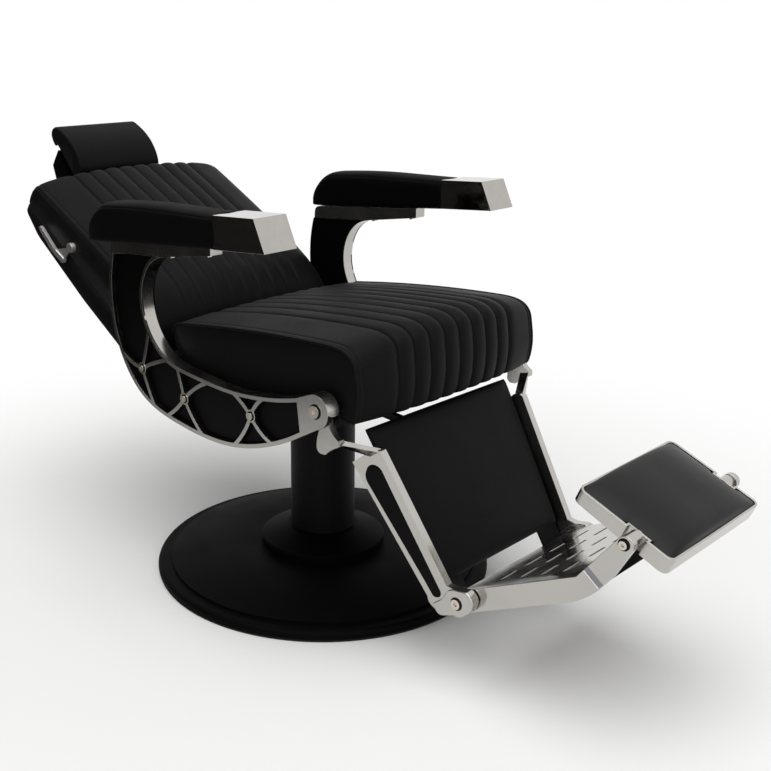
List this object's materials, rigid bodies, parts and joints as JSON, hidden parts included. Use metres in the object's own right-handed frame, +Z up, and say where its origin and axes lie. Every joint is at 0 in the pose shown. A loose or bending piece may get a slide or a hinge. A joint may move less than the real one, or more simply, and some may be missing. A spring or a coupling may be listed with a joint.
{
  "type": "barber chair",
  "caption": "Reclining barber chair: channelled black upholstery, cast side frames with curved arm rests, swinging leg rest with reversible foot pad, round hydraulic base.",
  "frame": {"origin": "centre of the round base, on the floor", "axes": "+X the way the sitter faces, +Y to the sitter's left, +Z up; the stored pose is the pictured one, back reclined, leg rest out and column down"},
  "size_m": [1.6365, 0.7006, 0.8699],
  "materials": {
    "black_leather": "grained",
    "black_paint": "satin",
    "dark_steel": "satin",
    "cast_aluminium": "satin",
    "chrome": "polished",
    "machined_steel": "ground",
    "black_plastic": "satin",
    "rubber": "matte",
    "plywood": "sanded"
  },
  "bodies": {
    "base": {"floor_ring": "rubber", "base_plate": "black_paint", "base_cover": "black_paint", "pump_cylinder": "dark_steel", "pump_bolts": "machined_steel", "pedal_bracket": "dark_steel", "pedal_pin": "machined_steel"},
    "pedal": {"pump_pedal": "chrome", "pedal_pad": "rubber"},
    "column": {"hydraulic_ram": "machined_steel", "column_sleeve": "black_paint", "swivel_bearing": "machined_steel"},
    "seat": {"seat_mount": "dark_steel", "seat_carrier": "dark_steel", "seat_pan": "plywood", "seat_cushion": "black_leather", "strut_cylinder": "dark_steel", "recline_shaft": "machined_steel", "frame_bolts": "chrome", "leg_pivot_bolts": "chrome", "arm_screws": "chrome", "side_frame_right": "cast_aluminium", "side_frame_left": "cast_aluminium", "side_inlay_right": "black_plastic", "side_inlay_left": "black_plastic", "side_liner_right": "black_plastic", "side_liner_left": "black_plastic", "arm_support_right": "black_plastic", "arm_support_left": "black_plastic", "arm_pad_right": "black_leather", "arm_pad_left": "black_leather", "arm_block_right": "chrome", "arm_block_left": "chrome"},
    "back": {"back_frame": "dark_steel", "back_shell": "black_leather", "back_cushion": "black_leather", "headrest_guide": "dark_steel", "lever_boss": "dark_steel"},
    "lever": {"recline_lever": "chrome"},
    "head_slide": {"headrest_post": "machined_steel", "headrest_housing": "black_plastic"},
    "head": {"headrest_hinge": "dark_steel", "headrest_pad": "black_leather"},
    "leg": {"leg_arm_right": "cast_aluminium", "leg_arm_left": "cast_aluminium", "leg_inlay_right": "black_plastic", "leg_inlay_left": "black_plastic", "calf_board": "dark_steel", "calf_pad": "black_leather", "foot_hinge_bolts": "chrome"},
    "link": {"link_bar": "dark_steel"},
    "strut": {"strut_rod": "machined_steel"},
    "foot": {"foot_plate": "cast_aluminium", "toe_cover": "black_plastic"},
    "flip": {"flip_tray": "cast_aluminium", "flip_pad": "black_leather", "flip_pivot_bolts": "chrome"}
  },
  "joints": [
    {"name": "lift", "type": "slide", "parent": "base", "child": "column", "axis": [0, 0, 1], "range_m": [0, 0.16]},
    {"name": "swivel", "type": "hinge", "parent": "column", "child": "seat", "pos_m": [0, 0, 0.34], "axis": [0, 0, 1], "continuous": true},
    {"name": "recline", "type": "hinge", "parent": "seat", "child": "back", "pos_m": [-0.208, 0, 0.448], "axis": [0, 1, 0], "range_deg": [0, 46]},
    {"name": "leg_swing", "type": "hinge", "parent": "seat", "child": "leg", "pos_m": [0.273, 0, 0.474], "axis": [0, 1, 0], "range_deg": [0, 20.2]},
    {"name": "link_pivot", "type": "hinge", "parent": "back", "child": "link", "pos_m": [-0.19108, -0.022, 0.40814], "axis": [0, 1, 0], "range_deg": [-46.8, 0]},
    {"name": "strut_stroke", "type": "slide", "parent": "seat", "child": "strut", "axis": [1, 0, 0], "range_m": [-0.0342, 0]},
    {"name": "lever_pull", "type": "hinge", "parent": "back", "child": "lever", "pos_m": [-0.48543, -0.263, 0.64602], "axis": [0, 1, 0], "range_deg": [0, 20], "stiffness_Nm_per_rad": 3, "springref_deg": -14.32},
    {"name": "headrest_slide", "type": "slide", "parent": "back", "child": "head_slide", "axis": [-0.8821, 0, 0.471], "range_m": [0, 0.07]},
    {"name": "headrest_tilt", "type": "hinge", "parent": "head_slide", "child": "head", "pos_m": [-0.73795, 0, 0.80578], "axis": [0, 1, 0], "range_deg": [-35, 8]},
    {"name": "foot_fold", "type": "hinge", "parent": "leg", "child": "foot", "pos_m": [0.508, 0, 0.161], "axis": [0, 1, 0], "range_deg": [-50, 0]},
    {"name": "flip_turn", "type": "hinge", "parent": "foot", "child": "flip", "pos_m": [0.79565, 0, 0.36219], "axis": [0, 1, 0], "range_deg": [0, 180]},
    {"name": "pedal_press", "type": "hinge", "parent": "base", "child": "pedal", "pos_m": [-0.10559, 0.10934, 0.07], "axis": [-0.7193, -0.6947, 0], "range_deg": [0, 10], "stiffness_Nm_per_rad": 40, "springref_deg": -17.19}
  ],
  "couplings": [
    {"joint": "leg_swing", "follows": "recline", "ratio": 0.43478},
    {"joint": "link_pivot", "follows": "recline", "ratio": -1.0124},
    {"joint": "strut_stroke", "follows": "recline", "m_per_rad": -0.042146}
  ]
}
